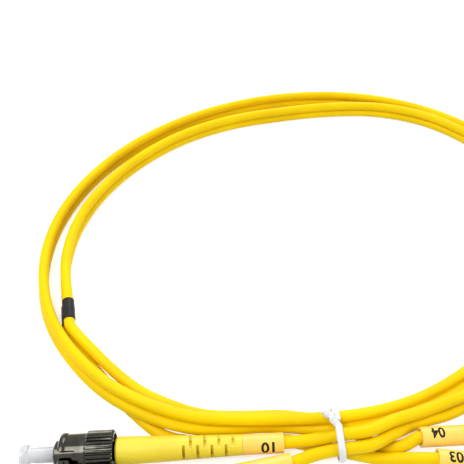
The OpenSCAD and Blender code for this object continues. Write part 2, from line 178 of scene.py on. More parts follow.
# %% [markdown]
# ## Material helpers
# Moulded plastic is never one flat colour: it drifts a little in tone, its gloss is uneven, and
# its skin has a fine grain. One shader node group makes these for every plastic here, with its
# own values in each material. An image could do it too, but it needs an unwrapped mesh; noise
# needs none and has no seams. It reads Object coordinates, so the pattern stays on the piece.

# %% A shared group for moulded skin
def skin_group():
    """Shader group: a base colour that drifts, an uneven gloss and the height of a fine grain."""
    group = bpy.data.node_groups.new("moulded_skin", "ShaderNodeTree")
    for label, kind in (("Vector", "Vector"), ("Colour", "Color"), ("Deep colour", "Color"),
                        ("Drift scale", "Float"), ("Grain scale", "Float"),
                        ("Gloss low", "Float"), ("Gloss high", "Float")):
        group.interface.new_socket(label, in_out="INPUT", socket_type="NodeSocket" + kind)
    for label, kind in (("Colour", "Color"), ("Roughness", "Float"), ("Height", "Float")):
        group.interface.new_socket(label, in_out="OUTPUT", socket_type="NodeSocket" + kind)
    source = group.nodes.new("NodeGroupInput").outputs
    drift = node(group, "ShaderNodeTexNoise", [("Vector", source["Vector"]),
                 ("Scale", source["Drift scale"]), ("Detail", 3.0), ("Roughness", 0.55)])
    grain = node(group, "ShaderNodeTexNoise", [("Vector", source["Vector"]),
                 ("Scale", source["Grain scale"]), ("Detail", 4.0), ("Roughness", 0.6)])
    mask = node(group, "ShaderNodeMapRange", [("Value", drift.outputs["Fac"]),
                ("From Min", 0.35), ("From Max", 0.68)])
    colour = node(group, "ShaderNodeMix", [("Factor", mask.outputs["Result"])], data_type="RGBA")
    group.links.new(source["Deep colour"], colour.inputs[6])
    group.links.new(source["Colour"], colour.inputs[7])
    gloss = node(group, "ShaderNodeMapRange", [("Value", grain.outputs["Fac"]),
                 ("From Min", 0.3), ("From Max", 0.7), ("To Min", source["Gloss low"]),
                 ("To Max", source["Gloss high"])])
    result = group.nodes.new("NodeGroupOutput").inputs
    group.links.new(colour.outputs[2], result["Colour"])
    group.links.new(gloss.outputs["Result"], result["Roughness"])
    group.links.new(grain.outputs["Fac"], result["Height"])
    return group


MOULDED_SKIN = skin_group()
print("nodes in the skin group:", len(MOULDED_SKIN.nodes))


# %% Materials that use the skin
def plastic(name, colour, deep, drift=90.0, grain=2500.0, gloss=(0.3, 0.4), bump=0.000004,
            sockets=()):
    """Plastic with a drifting colour, uneven gloss and a grain of the given height in metres."""
    material = bpy.data.materials.new(name)
    material.use_nodes = True
    tree = material.node_tree
    shader = tree.nodes["Principled BSDF"]
    place = node(tree, "ShaderNodeTexCoord")
    skin = node(tree, "ShaderNodeGroup", node_tree=MOULDED_SKIN)
    for label, value in (("Colour", (*colour, 1.0)), ("Deep colour", (*deep, 1.0)),
                         ("Drift scale", drift), ("Grain scale", grain),
                         ("Gloss low", gloss[0]), ("Gloss high", gloss[1])):
        skin.inputs[label].default_value = value
    tree.links.new(place.outputs["Object"], skin.inputs["Vector"])
    tree.links.new(skin.outputs["Colour"], shader.inputs["Base Color"])
    tree.links.new(skin.outputs["Roughness"], shader.inputs["Roughness"])
    relief = node(tree, "ShaderNodeBump", [("Height", skin.outputs["Height"]), ("Strength", 1.0),
                  ("Distance", bump)])
    tree.links.new(relief.outputs["Normal"], shader.inputs["Normal"])
    for label, value in sockets:
        shader.inputs[label].default_value = value
    return material


CORD_YELLOW = plastic("cord_yellow", (0.93, 0.65, 0.0), (0.85, 0.57, 0.0), drift=60.0,
                      grain=1800.0, gloss=(0.4, 0.5), sockets=(("Specular IOR Level", 0.1),))
BOOT_YELLOW = plastic("boot_yellow", (0.83, 0.68, 0.04), (0.78, 0.61, 0.03), drift=140.0,
                      grain=3500.0, gloss=(0.42, 0.52), bump=0.000006)
LABEL_YELLOW = plastic("label_yellow", (0.95, 0.66, 0.12), (0.9, 0.59, 0.09), drift=120.0,
                       grain=3000.0, gloss=(0.38, 0.46))
MARK_BLACK = plastic("mark_black", (0.012, 0.008, 0.005), (0.022, 0.015, 0.008), gloss=(0.6, 0.7),
                     sockets=(("Specular IOR Level", 0.2),))
SLEEVE_BLACK = plastic("sleeve_black", (0.008, 0.009, 0.009), (0.016, 0.016, 0.016), drift=300.0,
                       grain=4000.0, gloss=(0.4, 0.52), bump=0.00001,
                       sockets=(("Specular IOR Level", 0.2),))
TIE_WHITE = plastic("tie_white", (0.8, 0.81, 0.8), (0.72, 0.73, 0.72), drift=300.0,
                    gloss=(0.35, 0.45))
BUFFER_WHITE = plastic("buffer_white", (0.85, 0.85, 0.82), (0.8, 0.8, 0.76), gloss=(0.25, 0.3))
FERRULE_WHITE = plastic("ferrule_white", (0.86, 0.85, 0.81), (0.82, 0.81, 0.77), grain=5000.0,
                        gloss=(0.12, 0.18), bump=0.000001)
CAP_CLEAR = plastic("cap_clear", (0.9, 0.91, 0.93), (0.86, 0.87, 0.89), drift=120.0, grain=900.0,
                    gloss=(0.12, 0.18), bump=0.0000003,
                    sockets=(("Transmission Weight", 0.5), ("IOR", 1.45)))
print("materials after the plastics:", len(bpy.data.materials))

# %% [markdown]
# ## Metals
# The nut and the barrel are brass with a nickel plate, and their spring is steel. Polished metal
# shows the room, which is white here. The plate's colour is set to a dark warm grey, far darker
# than real nickel: painted shade that stands in for a dark room in its reflections, so that only
# its edges and teeth catch the light. Small smudges in its gloss keep it from looking drawn.

# %% Plated and bare metal
def metal(name, colour, deep, gloss):
    """Metal with an uneven gloss; the same skin as the plastics, with Metallic at one."""
    return plastic(name, colour, deep, drift=500.0, grain=6000.0, gloss=gloss, bump=0.000002,
                   sockets=(("Metallic", 1.0),))


# Painted shade: the plate's base colour is far darker than real nickel, to stand in for dark
# reflections.
NICKEL = metal("nickel", (0.085, 0.081, 0.07), (0.055, 0.052, 0.043), gloss=(0.1, 0.2))
SPRING_STEEL = metal("spring_steel", (0.5, 0.5, 0.52), (0.42, 0.42, 0.44), gloss=(0.2, 0.32))
CRIMP_BRASS = metal("crimp_brass", (0.62, 0.5, 0.28), (0.55, 0.44, 0.24), gloss=(0.25, 0.35))
print("materials after the metals:", len(bpy.data.materials))

# %% Finishes of the solid pieces
NODE_FINISH = {
    "dust_cap": CAP_CLEAR, "ferrule": FERRULE_WHITE, "barrel": NICKEL, "nut_spring": SPRING_STEEL,
    "retaining_washer": SPRING_STEEL, "coupling_nut": NICKEL, "crimp_sleeve": CRIMP_BRASS,
    "buffered_fiber": BUFFER_WHITE, "strain_boot": BOOT_YELLOW, "label_sleeve": LABEL_YELLOW,
    "split_band": SLEEVE_BLACK, "wire_tie": TIE_WHITE, "zip_cord": CORD_YELLOW,
    "leg_cord": CORD_YELLOW,
}

for name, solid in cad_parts.items():
    family = next(key for key in NODE_FINISH if name.startswith(key))
    solid.data.materials.clear()
    solid.data.materials.append(NODE_FINISH[family])
print("finished nodes:", len(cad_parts))

# %% [markdown]
# ## The routes of the cords
# A patch cord of stock length is wound in an oval and tied. The zip cord's oval is an ellipse
# with a turned long axis. Three short tables say how far the cord moves inward, leans over and
# is lifted on its way through both turns, so one formula gives every point. The four single
# cords cross over and under each other, so their points are listed one by one. A simulation could
# drop the bundle on the floor, but it would come to rest somewhere else than the solid cords.
# All routes are in millimetres, as in the solid model.

# %% Sizes of the cord
JACKET = 3.0
JACKET_PITCH = 3.1
WEB = 1.0
FLOOR_GAP = 0.25
Z_LOW = FLOOR_GAP + JACKET / 2
BAND_LENGTH = 7.0
print("zip cord width in mm:", JACKET + JACKET_PITCH)

# %% The oval of the zip cord
OVAL_CENTRE = (-2.1, 80.0)
OVAL_HALF = (84.5, 69.0)
OVAL_TILT = math.radians(21.0)
COIL_START, COIL_END, RING_STEP = -45, 540, 15
TURN_STEP = 3.45
TIE_LIFT = 1.3
# Angle on the way through both turns, and the cord's move inward there, in turn steps
MOVES_IN = ((195, 0), (210, -0.29), (225, -0.1), (240, 1.05), (255, 0.24), (270, 0.48),
            (285, 0.7), (300, 1), (397, 1), (409, 1.7), (422, 2.45), (434, 2.75), (447, 2.5),
            (459, 2.15), (489, 2.05), (510, 1.95), (525, 1.9), (540, 1.77))
# Angle on the oval, and how far the zip cord leans inward there, in degrees
LEANS = ((150, 0), (180, 16), (195, 20), (210, 30), (225, 35), (240, 5), (255, 55), (270, 75),
         (285, 45), (300, 15), (312, 0))
# Angle on the first turn, and how high the cord is lifted there, in tie lifts
LIFTS = ((180, 0), (195, 1.2), (210, 2.4), (225, 2), (240, 0.4), (255, 2.3), (270, 0), (285, 0))


def table_value(x, table):
    """Value at x on the straight lines through a short table of (x, value)."""
    for (x0, y0), (x1, y1) in zip(table, table[1:]):
        if x <= x1:
            return y0 + (y1 - y0) * min(max((x - x0) / (x1 - x0), 0.0), 1.0)
    return table[-1][1]


def lean_at(angle):
    """How far the zip cord leans inward at an angle, in radians."""
    return math.radians(table_value(angle % 360, LEANS))


def coil_point(angle):
    """Point of the zip cord's middle line at an angle, in millimetres."""
    a = math.radians(angle)
    inset = TURN_STEP * table_value(angle, MOVES_IN)
    x = (OVAL_HALF[0] - inset) * math.cos(a)
    y = (OVAL_HALF[1] - inset) * math.sin(a)
    return Vector((OVAL_CENTRE[0] + x * math.cos(OVAL_TILT) - y * math.sin(OVAL_TILT),
                   OVAL_CENTRE[1] + x * math.sin(OVAL_TILT) + y * math.cos(OVAL_TILT),
                   Z_LOW + JACKET_PITCH / 2 * math.cos(lean_at(angle))
                   + TIE_LIFT * table_value(angle, LIFTS)))


coil_angles = range(COIL_START, COIL_END + 1, RING_STEP)
coil = [coil_point(angle) for angle in coil_angles]
start_dir = (coil[0] - coil[1]).normalized()
end_dir = (coil[-1] - coil[-2]).normalized()
zip_start = coil[0] + JACKET * start_dir
zip_end = coil[-1] + JACKET * end_dir
print("coil points:", len(coil))

# %% [markdown]
# ## From chosen points to a smooth line
# A curve through the chosen points bulges past the straight runs between them, and an averaged
# one cuts the corners. Each point is first moved a little towards the middle of its neighbours,
# so the curve lies half inside and half outside, and the cords stay clear of each other.

# %% A smooth curve through chosen points
def smooth_line(points, steps=6):
    """Catmull-Rom curve through the points, with a number of steps between each two."""
    line = []
    for i in range(len(points) - 1):
        a = points[max(i - 1, 0)]
        b, c = points[i], points[i + 1]
        d = points[min(i + 2, len(points) - 1)]
        for s in range(steps):
            t = s / steps
            line.append(0.5 * (2 * b + (c - a) * t + (2 * a - 5 * b + 4 * c - d) * t ** 2
                               + (3 * b - a - 3 * c + d) * t ** 3))
    return line + [points[-1]]


def settle(points, share=0.12):
    """Moves each inner point a share of the way to the middle of its neighbours."""
    return ([points[0]]
            + [b + share * ((a + c) / 2 - b) for a, b, c in zip(points, points[1:], points[2:])]
            + [points[-1]])


def in_metres(points):
    return [Vector(p) * MM for p in points]


def line_length(points):
    return sum((b - a).length for a, b in zip(points, points[1:]))


# %% The line of the zip cord and the side its upper jacket is on
def headings(line):
    """Direction of a line at each of its points."""
    return [(c - a).normalized()
            for a, c in zip([line[0]] + line[:-1], line[1:] + [line[-1]])]


def jacket_sides(line, leans):
    """Direction from the lower jacket to the upper one at each point of a line."""
    sides = []
    for ahead, lean in zip(headings(line), leans):
        outward = ahead.cross(UP).normalized()
        sides.append(math.cos(lean) * outward.cross(ahead) - math.sin(lean) * outward)
    return sides


zip_line = in_metres(smooth_line([zip_start] + settle(coil) + [zip_end]))
coil_leans = [lean_at(angle) for angle in coil_angles]
zip_leans = [v.x for v in smooth_line([Vector((lean, 0.0, 0.0)) for lean in
                                       [coil_leans[0]] + coil_leans + [coil_leans[-1]]])]
zip_sides = jacket_sides(zip_line, zip_leans)
print("zip cord mm:", round(line_length(zip_line) / MM, 1))

# %% The plugs' places
PLUG_Z = 5.0
PLUGS = {
    "a1": (Vector((-27.5, 7.0, PLUG_Z)), 180.0), "a2": (Vector((-26.0, 0.4, PLUG_Z)), 189.0),
    "b1": (Vector((28.0, -0.4, PLUG_Z)), -9.0), "b2": (Vector((25.5, 6.6, PLUG_Z)), 0.0),
}
CRIMP_X = 15.0
LABEL_LENGTH = 9.9
SEAT_GAP = 0.05
print("plugs:", ", ".join(PLUGS))


def heading(plug):
    """Direction of a plug's axis, from its boot to its ferrule."""
    angle = math.radians(PLUGS[plug][1])
    return Vector((math.cos(angle), math.sin(angle), 0.0))


def along(plug, x):
    """Point on a plug's axis, x millimetres ahead of its boot's rear face."""
    return PLUGS[plug][0] + x * heading(plug)


def plug_point(plug, x, turn, radius):
    """Point at a radius round a plug's axis, at a turn from the top; x as in along()."""
    left = UP.cross(heading(plug))
    return along(plug, x) + radius * (math.cos(turn) * UP + math.sin(turn) * left)


# %% The single cords' points
LEGS = {
    "a1": [(-10.1, 7, 5.8), (-4, 7.3, 7.1), (2.9, 7.7, 7.8), (9.9, 10.3, 7.2), (17.1, 12.4, 6.4),
           (25, 14.9, 6.1), (33, 18.1, 5.6), (40.9, 22.1, 5.2), (48.4, 26.6, 5),
           (54.9, 31.6, 4.9), (61.3, 38.1, 4.9), (66.7, 45.8, 4.9)],
    "a2": [(-10, 3.6, 5.4), (-4, 4.3, 6), (3, 4.8, 6.2), (9, 7.6, 5.1), (14.5, 10.2, 3.7),
           (19.1, 11.5, 3.6), (25.2, 12.9, 3.6), (33, 16.4, 2.8), (41, 20.7, 2),
           (48.4, 26.1, 1.8), (54.9, 31.6, 1.8), (61.3, 38.1, 1.7), (66.7, 45.8, 1.7)],
    "b1": [(11, 2.2, 3.6), (4.9, 3.1, 2.3), (-3.9, 5.1, 3), (-10.1, 7.1, 1.8),
           (-17.2, 9.1, 1.6), (-27.1, 9.3, 1.6), (-37.1, 9.6, 1.6), (-46.2, 11.6, 1.6),
           (-53.9, 17.7, 1.6), (-60.9, 25.6, 1.6), (-67.9, 34.2, 1.6), (-72.9, 41.2, 1.6)],
    "b2": [(11.1, 5.3, 3.5), (6.6, 6.1, 1.6), (2, 9.2, 1.6), (-1.4, 11.8, 1.6),
           (-4.2, 13.3, 2.9), (-10.2, 14.3, 1.9), (-17.2, 15.5, 1.6), (-27, 15.8, 1.6),
           (-36.9, 16.8, 1.6), (-45.9, 20.2, 1.6), (-53.9, 24.6, 2), (-60.9, 30.5, 2.8),
           (-67.7, 37.4, 4), (-72.6, 42.9, 4.6)],
}
# Where each single cord joins: the end of the zip cord, its direction and lean, and the jacket,
# 1 for the upper one and -1 for the lower
ZIP_ENDS = {"a": (zip_start, start_dir, coil_leans[0]), "b": (zip_end, end_dir, coil_leans[-1])}
JACKET_SIDE = {"a1": 1, "a2": -1, "b1": -1, "b2": 1}
INSIDE_BOOT = 5.0


def leg_points(plug):
    """Points of one single cord, from inside its boot to the end of the zip cord."""
    join, ahead, lean = ZIP_ENDS[plug[0]]
    across = Vector((-ahead.y * math.sin(lean), ahead.x * math.sin(lean), math.cos(lean)))
    end = join + JACKET_SIDE[plug] * JACKET_PITCH / 2 * across
    straight = (CRIMP_X - SEAT_GAP, INSIDE_BOOT, -LABEL_LENGTH / 2, -LABEL_LENGTH)
    return ([along(plug, x) for x in straight] + [Vector(p) for p in LEGS[plug]]
            + [end + (BAND_LENGTH / 2 + SEAT_GAP) * ahead, end + SEAT_GAP * ahead])


leg_lines = {plug: in_metres(smooth_line(leg_points(plug))) for plug in PLUGS}
for plug in PLUGS:
    print("single cord", plug, "mm:", round(line_length(leg_lines[plug]) / MM, 1))

# %% [markdown]
# ## The cords as tubes
# A zip cord is two round jackets with a thin web between them, so that they can be pulled apart;
# each then goes on as a single cord. A curve with a round bevel would make one tube. Curve to
# Mesh sweeps any profile, and so one tree makes both kinds of cord. The zip cord's line carries
# an attribute, `side`, the direction from one jacket to the other. The tree moves one copy of the
# line that way and another the opposite way, and sweeps a narrow strip between them for the web.
# Where the cord leans over, the attribute turns and all three follow.

# %% Tree for the cords
TUBE_SIDES = 32
NO_WEB = 0.00001


def cord_tree():
    """Tree that turns a line into one round jacket, or into two with a web between them."""
    tree, source, result = geometry_tree("cord_tree", (
        ("Radius", "NodeSocketFloat", 0.0015), ("Half pitch", "NodeSocketFloat", 0.0),
        ("Web", "NodeSocketFloat", 0.0), ("Jacket", "NodeSocketMaterial", None)))
    line = node(tree, "GeometryNodeMeshToCurve", [("Mesh", source.outputs["Geometry"])])
    ring = node(tree, "GeometryNodeCurvePrimitiveCircle",
                [("Resolution", TUBE_SIDES), ("Radius", source.outputs["Radius"])])
    side = node(tree, "GeometryNodeInputNamedAttribute", [("Name", "side")],
                data_type="FLOAT_VECTOR")
    joined = node(tree, "GeometryNodeJoinGeometry")
    for sign in (1.0, -1.0):
        reach = maths(tree, "MULTIPLY", source.outputs["Half pitch"], sign)
        offset = node(tree, "ShaderNodeVectorMath", [("Vector", side.outputs["Attribute"]),
                      ("Scale", reach)], operation="SCALE")
        moved = node(tree, "GeometryNodeSetPosition", [("Geometry", line.outputs["Curve"]),
                     ("Offset", offset.outputs["Vector"])])
        tube = node(tree, "GeometryNodeCurveToMesh", [("Curve", moved.outputs["Geometry"]),
                    ("Profile Curve", ring.outputs["Curve"]), ("Fill Caps", True)])
        tree.links.new(tube.outputs["Mesh"], joined.inputs["Geometry"])
    tangent = node(tree, "GeometryNodeInputTangent")
    across = node(tree, "ShaderNodeVectorMath", [(0, tangent.outputs["Tangent"]),
                  (1, side.outputs["Attribute"])], operation="CROSS_PRODUCT")
    turned = node(tree, "GeometryNodeSetCurveNormal", [("Curve", line.outputs["Curve"]),
                  ("Normal", across.outputs["Vector"])], mode="FREE")
    strip = node(tree, "GeometryNodeCurvePrimitiveQuadrilateral",
                 [("Width", source.outputs["Web"]), ("Height", source.outputs["Radius"])])
    web = node(tree, "GeometryNodeCurveToMesh", [("Curve", turned.outputs["Curve"]),
               ("Profile Curve", strip.outputs["Curve"]), ("Fill Caps", True)])
    tree.links.new(web.outputs["Mesh"], joined.inputs["Geometry"])
    has_web = node(tree, "FunctionNodeCompare", [("A", source.outputs["Web"]), ("B", NO_WEB)],
                   data_type="FLOAT", operation="GREATER_THAN")
    choice = node(tree, "GeometryNodeSwitch", [("Switch", has_web.outputs["Result"]),
                  ("False", tube.outputs["Mesh"]), ("True", joined.outputs["Geometry"])],
                  input_type="GEOMETRY")
    return end_tree(tree, result, choice.outputs["Output"], source.outputs["Jacket"])


CORD_TREE = cord_tree()


def make_cord(name, line, half_pitch=0.0, web=0.0, sides=None):
    """Runs the cord tree on a line and smooths the result."""
    piece = run_tree(name, line_mesh(name, line, sides), CORD_TREE, {
        "Radius": JACKET / 2 * MM, "Half pitch": half_pitch, "Web": web, "Jacket": CORD_YELLOW})
    smooth(piece.data)
    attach(piece, "cord")
    return piece


zip_piece = make_cord("duplex_cord", zip_line, JACKET_PITCH / 2 * MM, WEB * MM, zip_sides)
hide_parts("zip_cord")
for plug in PLUGS:
    make_cord("single_cord_" + plug, leg_lines[plug])
    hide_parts("leg_cord_" + plug)

# %% [markdown]
# ## The wire tie
# The tie is a flat strip of plastic with a wire along its middle. It goes once round the zip
# cord and the four single cords, and its two ends are twisted together at the top. The profile is
# a closed curve with a raised middle, swept along the loop and both ends in one go. Left to
# itself a swept strip may roll about its line, so each point carries the direction of its width.

# %% Sizes and the loop of the tie
TIE_WIDTH, TIE_THICKNESS = 1.7, 0.8
TIE_X, TIE_MIDDLE, TIE_SLANT = -4.0, 5.0, 0.12
TAIL_LENGTH, SHORT_TAIL, TAIL_PITCH, TAIL_LIFT = 3.5, 2.8, 0.9, 1.4
TAIL_STEPS, CURVE_STEPS = 10, 4
TAIL_WAY = Vector((-0.75, 0.5, 0.4))
TIE_LOOP = [(8.77, 9.2), (7.29, 9.43), (5.85, 9.03), (4.44, 8.5), (3.06, 7.92), (2.13, 6.78),
            (2.07, 5.3), (2.43, 3.84), (2.78, 2.38), (3.59, 1.15), (4.98, 0.66), (6.48, 0.66),
            (7.98, 0.66), (9.48, 0.66), (10.98, 0.66), (12.49, 0.66), (13.99, 0.66),
            (15.22, 1.44), (15.69, 2.83), (15.32, 4.28), (14.83, 5.7), (14.33, 7.11),
            (13.36, 8.22), (11.92, 8.63), (10.44, 8.9)]
tie_ring = [Vector((TIE_X - TIE_SLANT * (z - TIE_MIDDLE), y, z)) for y, z in TIE_LOOP]
tail_dir = TAIL_WAY.normalized()
tail_root = (tie_ring[0] + tie_ring[-1]) / 2 + TAIL_LIFT * tail_dir
tail_side = (tie_ring[0] - tie_ring[-1]).normalized()
tail_up = tail_dir.cross(tail_side).normalized()


def tail_points(phase, length):
    """Points of one end of the tie, wound round the middle line of the twist."""
    points = []
    side = tail_up.cross(tail_dir)
    for i in range(TAIL_STEPS + 1):
        turn = phase + 2 * math.pi * length / TAIL_LENGTH * i / TAIL_STEPS
        points.append(tail_root + tail_dir * length * i / TAIL_STEPS
                      + TAIL_PITCH / 2 * (math.cos(turn) * side + math.sin(turn) * tail_up))
    return points


tie_points = (tail_points(0.0, TAIL_LENGTH)[::-1] + tie_ring + tail_points(math.pi, SHORT_TAIL))
tie_line = in_metres(smooth_line(tie_points, CURVE_STEPS))
print("tie length mm:", round(line_length(tie_line) / MM, 1))


# %% The direction of the tie's width
def across(side, ahead):
    """The part of a side that is square to the way ahead, at length one."""
    return (side - side.dot(ahead) * ahead).normalized()


def carried_sides(line, first, last, side):
    """Side of a strip at each point: the given one between two points, carried on past them."""
    ahead = headings(line)
    sides = [across(side, a) for a in ahead]
    for i in range(last + 1, len(line)):
        sides[i] = across(sides[i - 1], ahead[i])
    for i in range(first - 1, -1, -1):
        sides[i] = across(sides[i + 1], ahead[i])
    return sides


tie_sides = carried_sides(tie_line, CURVE_STEPS * (TAIL_STEPS + 2),
                          CURVE_STEPS * (TAIL_STEPS + len(tie_ring) - 1),
                          Vector((1.0, 0.0, TIE_SLANT)).normalized())
print("tie points:", len(tie_sides))


# %% Tree for a strip with a raised middle
STRIP_SIDES, STRIP_EDGE, RIDGE_NARROW = 24, 0.75, 5.5


def strip_tree():
    """Tree that sweeps a flat oval, thicker in the middle, along a line with sides."""
    tree, source, result = geometry_tree("strip_tree", (
        ("Width", "NodeSocketFloat", 0.0017), ("Thickness", "NodeSocketFloat", 0.0008),
        ("Coating", "NodeSocketMaterial", None)))
    line = node(tree, "GeometryNodeMeshToCurve", [("Mesh", source.outputs["Geometry"])])
    side = node(tree, "GeometryNodeInputNamedAttribute", [("Name", "side")],
                data_type="FLOAT_VECTOR")
    turned = node(tree, "GeometryNodeSetCurveNormal", [("Curve", line.outputs["Curve"]),
                  ("Normal", side.outputs["Attribute"])], mode="FREE")
    ring = node(tree, "GeometryNodeCurvePrimitiveCircle",
                [("Resolution", STRIP_SIDES), ("Radius", 0.5)])
    place = node(tree, "GeometryNodeInputPosition")
    parts = node(tree, "ShaderNodeSeparateXYZ", [("Vector", place.outputs["Position"])]).outputs
    ridge = maths(tree, "COSINE", maths(tree, "MULTIPLY", parts["X"], RIDGE_NARROW))
    swell = node(tree, "ShaderNodeMapRange", [("Value", ridge), ("From Min", -1.0),
                 ("From Max", 1.0), ("To Min", STRIP_EDGE), ("To Max", 1.0)])
    wide = maths(tree, "MULTIPLY", parts["X"], source.outputs["Width"])
    thick = maths(tree, "MULTIPLY", parts["Y"], source.outputs["Thickness"])
    raised = maths(tree, "MULTIPLY", thick, swell.outputs["Result"])
    corner = node(tree, "ShaderNodeCombineXYZ", [("X", wide), ("Y", raised)])
    outline = node(tree, "GeometryNodeSetPosition", [("Geometry", ring.outputs["Curve"]),
                   ("Position", corner.outputs["Vector"])])
    strip = node(tree, "GeometryNodeCurveToMesh", [("Curve", turned.outputs["Curve"]),
                 ("Profile Curve", outline.outputs["Geometry"]), ("Fill Caps", True)])
    return end_tree(tree, result, strip.outputs["Mesh"], source.outputs["Coating"])


tie_mesh = line_mesh("twisted_tie", tie_line, tie_sides)
tie_piece = run_tree("twisted_tie", tie_mesh, strip_tree(), {
    "Width": TIE_WIDTH * MM, "Thickness": TIE_THICKNESS * MM, "Coating": TIE_WHITE})
smooth(tie_piece.data)
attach(tie_piece, "cord")
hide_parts("wire_tie")

# %% [markdown]
# ## The black sleeves
# Where the two jackets part, a piece of heat-shrink tube holds them. Shrunk tube follows the two
# jackets, dips a little between them and has soft edges. One outline swept along would have hard
# ends and an even wall. So the outline is worked out for each ring from the distance to the two
# round jackets, with a wall that thins at both ends and waves a little between them.

# %% Outline of a sleeve
SLEEVE_WALL, SLEEVE_DIP, SLEEVE_SIDES = 0.25, 0.35, 48
# Distance in from the sleeve's end, and the wall there
SLEEVE_EDGE = ((0.0, 0.02), (0.02, 0.14), (0.12, 0.22), (0.4, SLEEVE_WALL))
SLEEVE_STEPS, SLEEVE_WAVE, WAVE_TURN = 8, 0.03, 5.0


def sleeve_outline(wall):
    """Closed outline round both jackets, as (out, up) in millimetres, for a wall's thickness."""
    points = []
    radius, half = JACKET / 2 + wall, JACKET_PITCH / 2
    for i in range(SLEEVE_SIDES):
        turn = 2 * math.pi * i / SLEEVE_SIDES
        out, up = radius * math.cos(turn), (radius + half) * math.sin(turn)
        if abs(up) < half:
            out = math.copysign(radius - SLEEVE_DIP * wall / SLEEVE_WALL
                                * math.cos(math.pi / 2 * up / half) ** 2, math.cos(turn))
        else:
            out = math.copysign(math.sqrt(max(radius ** 2 - (abs(up) - half) ** 2, 0.0)),
                                math.cos(turn))
        points.append((out, up))
    return points


def sleeve_rings():
    """Places of the sleeve's rings along it, and the wall at each, which waves a little."""
    rear, inset = -BAND_LENGTH / 2, SLEEVE_EDGE[-1][0]
    edge = [(rear + x, wall) for x, wall in SLEEVE_EDGE]
    middle = [(rear + inset + (BAND_LENGTH - 2 * inset) * i / SLEEVE_STEPS,
               SLEEVE_WALL + SLEEVE_WAVE * math.sin(WAVE_TURN * i))
              for i in range(1, SLEEVE_STEPS)]
    return edge + middle + [(-x, wall) for x, wall in edge[::-1]]


print("rings of a sleeve:", len(sleeve_rings()))


# %% Loft the sleeves
def join_rings(shape, rings):
    """Faces from each ring of corners to the next, all the way round."""
    for first, second in zip(rings, rings[1:]):
        for k in range(len(first)):
            n = (k + 1) % len(first)
            shape.faces.new((first[k], first[n], second[n], second[k]))


def shape_mesh(name, shape, turn_out=False):
    """Mesh of a shape, with its faces turned outwards if asked; the shape is freed."""
    if turn_out:
        bmesh.ops.recalc_face_normals(shape, faces=shape.faces)
    mesh = bpy.data.meshes.new(name)
    shape.to_mesh(mesh)
    shape.free()
    return mesh


def make_sleeve(end):
    """Lofts a sleeve round one end of the zip cord, "a" or "b"."""
    name = "shrink_sleeve_" + end
    join, ahead, lean = ZIP_ENDS[end]
    flat = Vector((ahead.x, ahead.y, 0.0)).normalized()
    outward = flat.cross(UP)
    shape = bmesh.new()
    rings = []
    for x, wall in sleeve_rings():
        ring = []
        for out, up in sleeve_outline(wall):
            side = out * math.cos(lean) - up * math.sin(lean)
            top = out * math.sin(lean) + up * math.cos(lean)
            ring.append(shape.verts.new((join + x * flat + side * outward + top * UP) * MM))
        rings.append(ring)
    join_rings(shape, rings)
    shape.faces.new(rings[0])
    shape.faces.new(rings[-1])
    piece = new_object(name, shape_mesh(name, shape, turn_out=True))
    piece.data.materials.append(SLEEVE_BLACK)
    smooth(piece.data)
    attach(piece, "cord")
    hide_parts("split_band_" + end)
    print(name, "faces:", len(piece.data.polygons))
    return piece


sleeves = [make_sleeve(end) for end in ZIP_ENDS]

# %% [markdown]
# ## The coupling nuts
# The nut is a brass sleeve that was turned, plated and knurled. Its body is a profile spun round
# the plug's axis, with two bayonet slots cut through the front: a straight entry, then a ramp
# that ends in a round hole. The knurl could be cut into the body too, but one tooth repeated
# round the rear half by Geometry Nodes keeps its edges clean, and one value sets how many there
# are. The nut is made once at the axis, and a copy is laid on each plug.

# %% Outline of the nut
NUT_REAR, NUT_FRONT = 30.3, 43.0
NUT_KNURL_R, NUT_ROOT_R, NUT_WAIST_R, NUT_FLANGE_R = 5.0, 4.62, 4.5, 4.8
NUT_BORE_R, NUT_HOLE_R, NUT_WALL = 4.0, 2.25, 1.1
NUT_SIDES, MERGE_WITHIN = 96, 0.0001
KNURL_LENGTH, KNURL_TEETH = 6.5, 32
FLANGE_WIDTH, BEVEL, SMALL_BEVEL = 1.7, 0.15, 0.1
RECESS_R, RECESS_DEPTH = 4.1, 0.5
# The flange's round edges: distance from its rear or its front, and how far inside its radius
FLANGE_REAR = ((-0.1, NUT_FLANGE_R - NUT_WAIST_R), (0.15, 0.1), (0.35, 0.0))
FLANGE_FRONT = ((0.7, 0.0), (0.3, 0.15), (0.05, 0.5))


def nut_profile():
    """Closed outline of the nut's wall, as (x, radius), from the rear recess to the bore."""
    floor_x, wall_x = NUT_REAR + RECESS_DEPTH, NUT_REAR + NUT_WALL
    knurl_x, flange_x = NUT_REAR + KNURL_LENGTH, NUT_FRONT - FLANGE_WIDTH
    return [(floor_x, NUT_HOLE_R), (floor_x, RECESS_R), (NUT_REAR, RECESS_R),
            (NUT_REAR, NUT_ROOT_R - BEVEL), (NUT_REAR + BEVEL, NUT_ROOT_R),
            (knurl_x, NUT_ROOT_R), (knurl_x + SMALL_BEVEL, NUT_WAIST_R),
            *((flange_x + x, NUT_FLANGE_R - inside) for x, inside in FLANGE_REAR),
            *((NUT_FRONT - x, NUT_FLANGE_R - inside) for x, inside in FLANGE_FRONT),
            (NUT_FRONT, NUT_BORE_R + SMALL_BEVEL), (NUT_FRONT - SMALL_BEVEL, NUT_BORE_R),
            (wall_x, NUT_BORE_R), (wall_x, NUT_HOLE_R)]


def round_x(x, radius, turn):
    """Point at a radius round the X axis, at a turn from the top."""
    return x, radius * math.sin(turn), radius * math.cos(turn)


